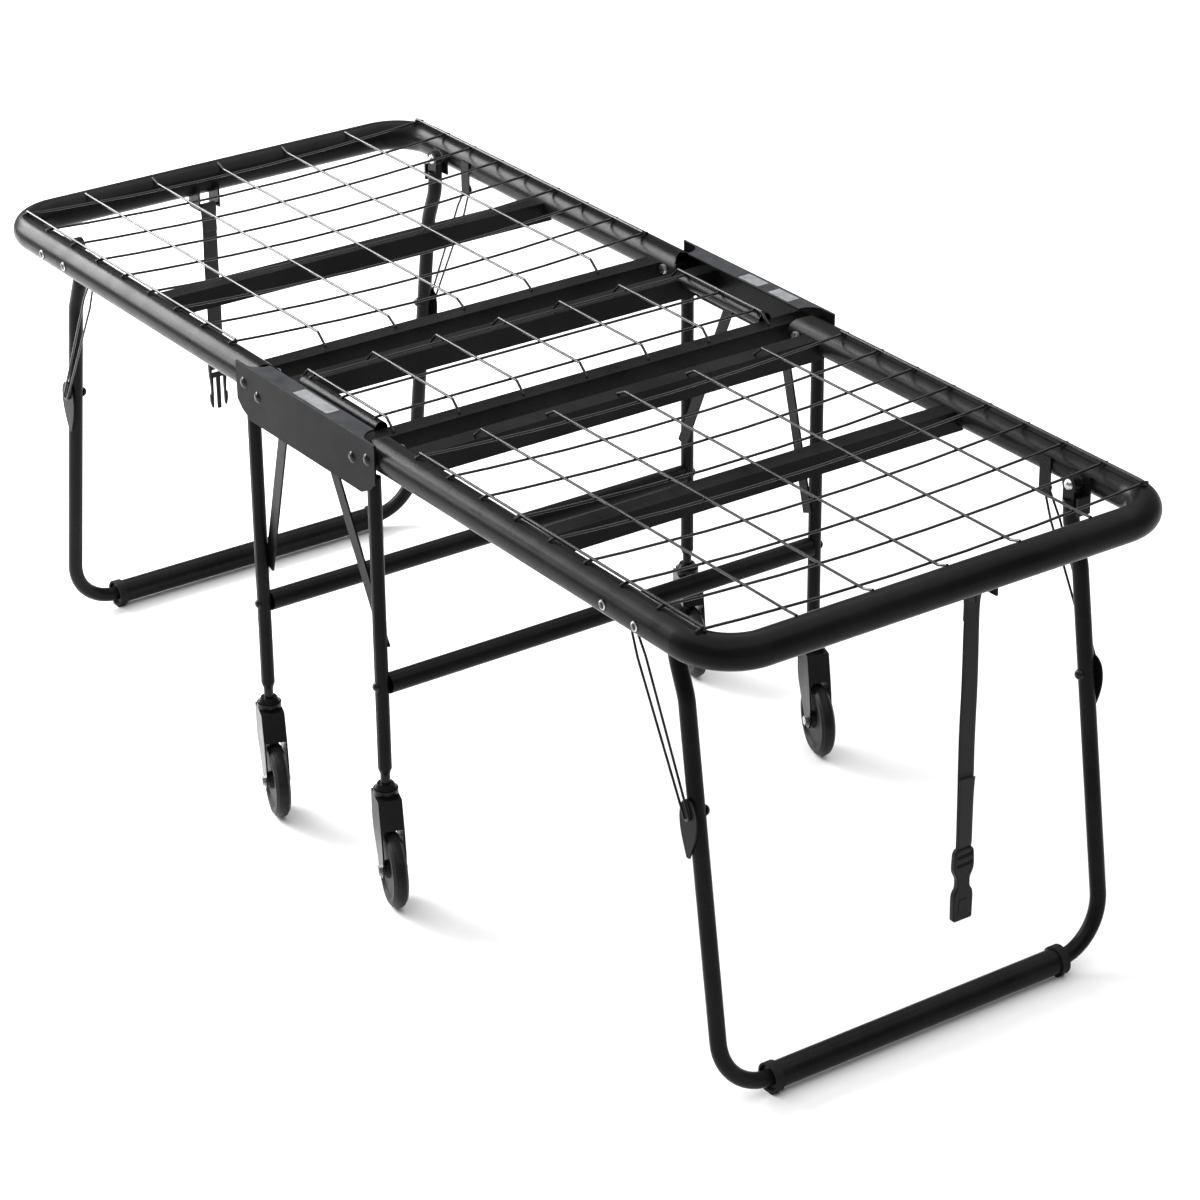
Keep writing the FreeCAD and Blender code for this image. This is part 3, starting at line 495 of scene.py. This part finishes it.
def socket_buckle():
    """Socket half of a side-release buckle: body with an open mouth, waist and strap frame."""
    outline = [(-16, 0), (16, 0), (16.5, 36), (15, 44), (10.5, 50), (10.5, 64), (16.5, 76),
               (17, 84), (16, 104), (12, 110), (-12, 110), (-16, 104), (-17, 84), (-16.5, 76),
               (-10.5, 64), (-10.5, 50), (-15, 44), (-16.5, 36)]
    slots = [[(-12.5, z), (12.5, z), (12.5, z + 5.5), (-12.5, z + 5.5)] for z in (84, 97)]
    body = cutout(rounded(in_mm(outline), 0.004), [rounded(in_mm(slot), 0.0012) for slot in slots],
                  thickness=0.0095, bevel=0.0016)
    raised = ((-9, 8), (9, 8), (8, 33), (-8, 33))
    rib = cutout(rounded(in_mm(raised), 0.004), [], thickness=0.0110, bevel=0.0007)
    mouth_low, mouth_high = (-0.0135, -0.002, -0.0027), (0.0135, 0.032, 0.0027)
    return joined([carved(body, mouth_low, mouth_high), rib])


def prong_buckle():
    """Plug half: slotted strap frame, centre guide and two sprung side prongs."""
    frame_loop = [(-16, 56), (16, 56), (16.5, 74), (15.5, 92), (-15.5, 92), (-16.5, 74)]
    slots = [[(-12, z), (12, z), (12, z + 6), (-12, z + 6)] for z in (64, 77)]
    parts = [cutout(rounded(in_mm(frame_loop), 0.003),
                    [rounded(in_mm(slot), 0.0012) for slot in slots],
                    thickness=0.0072, bevel=0.0013)]
    guide = [(-3.4, 0), (3.4, 0), (3.8, 58), (-3.8, 58)]
    parts.append(cutout(rounded(in_mm(guide), 0.0015), [], thickness=0.0040, bevel=0.0008))
    prong = [(9.5, 58), (10.0, 30), (10.5, 6), (13.0, 2), (16.0, 14), (16.2, 26), (13.6, 29),
             (14.0, 40), (15.6, 58)]
    mirrored = [(-x, y) for x, y in prong]
    for loop in (mirrored, prong[::-1]):
        parts.append(cutout(rounded(in_mm(loop), 0.0018), [], thickness=0.0058, bevel=0.0009))
    return joined(parts)


def strap_routes(place, low, lap_top):
    """Lines of the webbing: round the bar and down, its tail behind, and the lap at the buckle."""
    step = (CLEAR_Z - low) / 4
    hang = [place(0, BAR_Z + WRAP), place(WRAP, BAR_Z + WRAP), place(WRAP, BAR_Z - 0.006),
            place(0.0004, 0.632), place(-0.0006, CLEAR_Z)]
    hang += [place(RIPPLE * math.sin(RIPPLE_STEP * k), CLEAR_Z - k * step) for k in range(1, 4)]
    hang += [place(0, low)]
    tail = [place(0, BAR_Z + WRAP), place(-WRAP, BAR_Z + WRAP), place(-WRAP, BAR_Z - 0.006),
            place(-0.0018, 0.632), place(-0.0024, 0.606)]
    lap = [place(0.0004, low - 0.004), place(0.0030, low + 0.002), place(0.0022, low + 0.03),
           place(0.0020, lap_top - 0.012), place(0.0040, lap_top)]
    return hang, tail, lap


def closing_strap(name):
    """Webbing strap looped over its bar and lapped at the buckle, with that buckle half."""
    end, y, low = ENDS[name], STRAP_Y[name], STRAP_LOW[name]

    def place(outwards, z):
        return (end * (BAR_X + outwards), y, z)

    def twist(z):
        share = (BAR_Z - z) / (BAR_Z - low)
        return TWIST * math.sin(math.pi * min(max(share, 0.0), 1.0))

    hang, tail, lap = strap_routes(place, low, LAP_TOP[name])
    line = line_through(hang)
    layers = [ribbon(line, STRAP_WIDTH, STRAP_THICK, twist),
              ribbon(line_through(tail), LAP_WIDTH, STRAP_THICK, twist),
              ribbon(line_through(lap), LAP_WIDTH, STRAP_THICK, twist)]
    body = name + "_strap_hanging"
    strap = new_object(name + "_webbing_strap", joined(layers), WEBBING, body)
    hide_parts(name + "_strap")
    shape, node = ((prong_buckle, "head_buckle_prongs") if name == "head"
                   else (socket_buckle, "foot_buckle_socket"))
    mesh = upright(shape(), end * BAR_X, y, BUCKLE_LOW[name], end)
    buckle = new_object(node + "_moulded", mesh, BUCKLE, body)
    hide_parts(node)
    length = sum((q - p).length for p, q in zip(line, line[1:]))
    tuple(line[0])
    [tuple(p) for p in line]


# ---- labels -------------------------------------------------------------------------------
LABEL_SPOTS = (                                 # side, x from and to, y from and to
    ("near", -0.035, 0.055, -0.390, -0.369),
    ("far", -0.014, 0.033, 0.368, 0.389),
    ("far", 0.059, 0.107, 0.368, 0.389))
LABEL_LIFT = 0.0002                             # middle of the label above the flange


def add_labels():
    """Blank labels pressed on the channels' top flanges."""
    for k, (side, x0, x1, y0, y1) in enumerate(LABEL_SPOTS):
        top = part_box("side_channel_" + side)[1].z
        loop = rounded([(x0, y0), (x1, y0), (x1, y1), (x0, y1)], 0.0015)
        mesh = cutout(loop, [], thickness=0.0005, bevel=0.0001)
        mesh.transform(Matrix.Translation((0, 0, top + LABEL_LIFT)))
        new_object("blank_label_%d" % (k + 1), mesh, LABEL, "base")


# ---- camera, light and floor --------------------------------------------------------------
CAMERA_PLACE = (4.2944, -2.8868, 2.868)
CAMERA_AZIMUTH, CAMERA_ELEVATION, CAMERA_ROLL = 55.1601, 26.4757, -0.5629
SENSOR_MM = 36.0
FOCAL_WIDTHS = 3.25                             # focal length over the width of the sensor


def add_camera():
    """Long lens looking down on the foot end from the near side."""
    azimuth, elevation, roll = map(math.radians, (CAMERA_AZIMUTH, CAMERA_ELEVATION, CAMERA_ROLL))
    camera = bpy.data.objects.new("camera", bpy.data.cameras.new("camera"))
    bpy.context.scene.collection.objects.link(camera)
    camera.location = CAMERA_PLACE
    turn = Euler((math.pi / 2 - elevation, 0, azimuth)).to_matrix()
    camera.rotation_euler = (turn @ Matrix.Rotation(roll, 3, "Z")).to_euler()
    camera.data.sensor_width = SENSOR_MM
    camera.data.lens = FOCAL_WIDTHS * SENSOR_MM
    bpy.context.scene.camera = camera


def area_light(name, place, target, size, power):
    """Softbox at a place, turned to a target; its power is in watts."""
    light = bpy.data.lights.new(name, "AREA")
    light.shape = "RECTANGLE"
    light.size, light.size_y = size
    light.energy = power
    lamp = bpy.data.objects.new(name, light)
    lamp.location = place
    aim = Vector(target) - Vector(place)
    lamp.rotation_euler = aim.to_track_quat("-Z", "Y").to_euler()
    bpy.context.scene.collection.objects.link(lamp)


def add_studio():
    """Even white light from above, softboxes at the head end, and the floor."""
    world = bpy.data.worlds.new("studio")
    world.use_nodes = True
    sky = world.node_tree.nodes["Background"]
    sky.inputs["Color"].default_value = (1, 1, 1, 1)
    sky.inputs["Strength"].default_value = 0.3
    bpy.context.scene.world = world
    area_light("overhead", place=(0.0, 0.0, 5.0), target=(0, 0, 0), size=(9.0, 9.0), power=480.0)
    area_light("end", place=(-3.4, -1.1, 2.4), target=(0, -0.2, 0.6), size=(2.2, 1.4), power=260.0)
    area_light("low_end", place=(-3.2, -2.0, 1.4), target=(-0.3, -0.4, 0.65), size=(1.8, 0.8),
               power=90.0)
    bpy.ops.mesh.primitive_plane_add(size=60)
    floor = bpy.context.object
    floor.name = "studio_floor"
    floor.data.materials.append(floor_material())
    bpy.context.scene.view_settings.view_transform = "Standard"


add_camera()
for end_name in ENDS:
    closing_strap(end_name)
add_labels()
add_studio()
